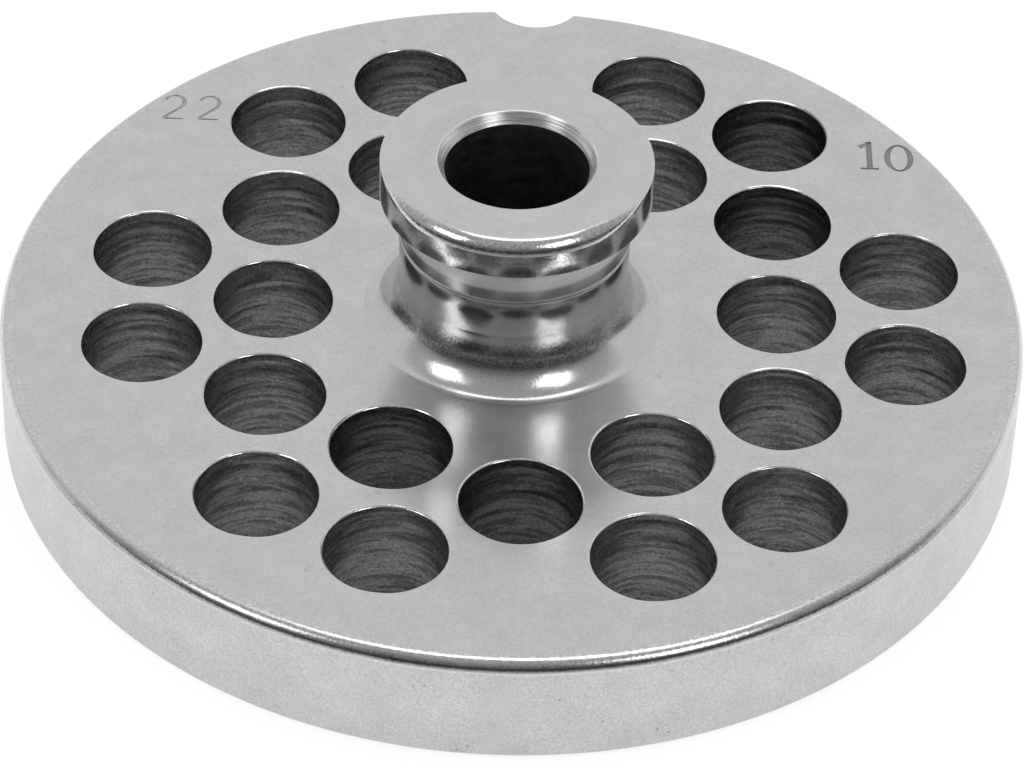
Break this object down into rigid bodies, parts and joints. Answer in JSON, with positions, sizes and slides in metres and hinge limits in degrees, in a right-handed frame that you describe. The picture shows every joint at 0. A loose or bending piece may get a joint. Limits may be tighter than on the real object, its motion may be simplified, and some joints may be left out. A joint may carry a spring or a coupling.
{
  "type": "meat grinder plate",
  "caption": "Round perforated steel plate for a meat grinder, with rings of drilled holes, a waisted hub with a central bore, and a notch in its rim.",
  "frame": {"origin": "centre of the bore, in the plane of the flat underside", "axes": "+Z along the bore towards the hub; +Y towards the notch in the rim, to within 2 degrees; +X to the right when the plate is seen from the side away from the notch with the hub up"},
  "size_m": [0.082, 0.0819, 0.0249],
  "materials": {
    "steel": "ground top, turned hub, drilled holes"
  },
  "bodies": {
    "root": {"grinder_plate": "steel"}
  },
  "joints": []
}
